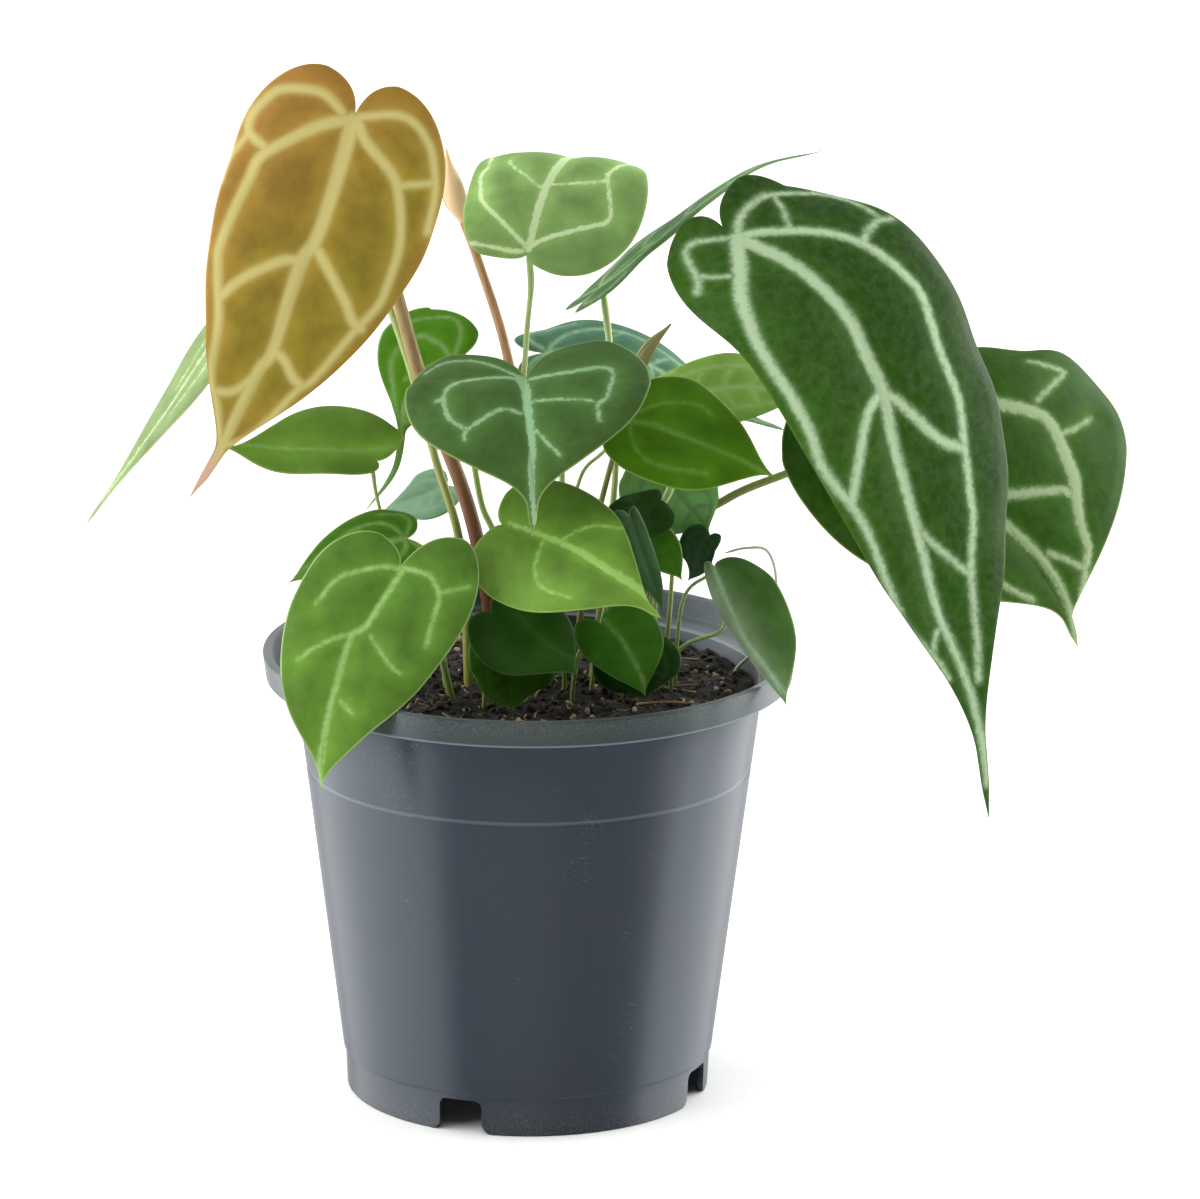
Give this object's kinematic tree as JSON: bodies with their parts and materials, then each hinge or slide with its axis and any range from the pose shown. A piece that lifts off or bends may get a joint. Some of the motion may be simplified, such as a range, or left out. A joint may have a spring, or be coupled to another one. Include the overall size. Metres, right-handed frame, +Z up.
{
  "type": "potted anthurium",
  "caption": "Young potted anthurium: thin heart-shaped leaves with pale veins and drip tips on slender stalks, rooted in bark mix in a plain tapered nursery pot.",
  "frame": {"origin": "middle of the bounding box at its base, on the surface that the pot stands on", "axes": "+Z up along the pot's axis, -Y towards the front, which most leaves face; the widest spread is along X"},
  "size_m": [0.2328, 0.119, 0.2387],
  "materials": {
    "pot": "satin moulded",
    "soil": "rough loose bark and peat",
    "leaf_bronze": "velvety leaf skin",
    "leaf_pale_back": "velvety leaf skin",
    "leaf_far_left": "velvety leaf skin",
    "leaf_rising": "velvety leaf skin",
    "leaf_centre": "velvety leaf skin",
    "leaf_great": "velvety leaf skin",
    "leaf_far_right": "velvety leaf skin",
    "leaf_mid_right": "velvety leaf skin",
    "leaf_lime_right": "velvety leaf skin",
    "leaf_arched": "velvety leaf skin",
    "leaf_front_left": "velvety leaf skin",
    "leaf_front_left_rear": "velvety leaf skin",
    "leaf_lime_front": "velvety leaf skin",
    "leaf_low_left": "velvety leaf skin",
    "leaf_low_left_under": "velvety leaf skin",
    "leaf_low_centre": "velvety leaf skin",
    "leaf_low_centre_under": "velvety leaf skin",
    "leaf_folded_rim": "velvety leaf skin",
    "leaf_round": "velvety leaf skin",
    "leaf_dark_small": "velvety leaf skin",
    "leaf_inner_small": "velvety leaf skin",
    "leaf_dark_narrow": "velvety leaf skin",
    "leaf_dark_right": "velvety leaf skin",
    "leaf_left": "velvety leaf skin",
    "leaf_back_left": "velvety leaf skin",
    "leaf_grey_small": "velvety leaf skin",
    "shoot_cream_bud": "soft skin",
    "shoot_rolled_spike": "soft skin",
    "dry_stalk": "dry straw"
  },
  "bodies": {
    "root": {"pot": "pot", "soil": "soil", "leaf_bronze": "leaf_bronze", "leaf_pale_back": "leaf_pale_back", "leaf_far_left": "leaf_far_left", "leaf_rising": "leaf_rising", "leaf_centre": "leaf_centre", "leaf_great": "leaf_great", "leaf_far_right": "leaf_far_right", "leaf_mid_right": "leaf_mid_right", "leaf_lime_right": "leaf_lime_right", "leaf_arched": "leaf_arched", "leaf_front_left": "leaf_front_left", "leaf_front_left_rear": "leaf_front_left_rear", "leaf_lime_front": "leaf_lime_front", "leaf_low_left": "leaf_low_left", "leaf_low_left_under": "leaf_low_left_under", "leaf_low_centre": "leaf_low_centre", "leaf_low_centre_under": "leaf_low_centre_under", "leaf_folded_rim": "leaf_folded_rim", "leaf_round": "leaf_round", "leaf_dark_small": "leaf_dark_small", "leaf_inner_small": "leaf_inner_small", "leaf_dark_narrow": "leaf_dark_narrow", "leaf_dark_right": "leaf_dark_right", "leaf_left": "leaf_left", "leaf_back_left": "leaf_back_left", "leaf_grey_small": "leaf_grey_small", "shoot_cream_bud": "shoot_cream_bud", "shoot_rolled_spike": "shoot_rolled_spike", "dry_stalk": "dry_stalk"}
  },
  "joints": []
}
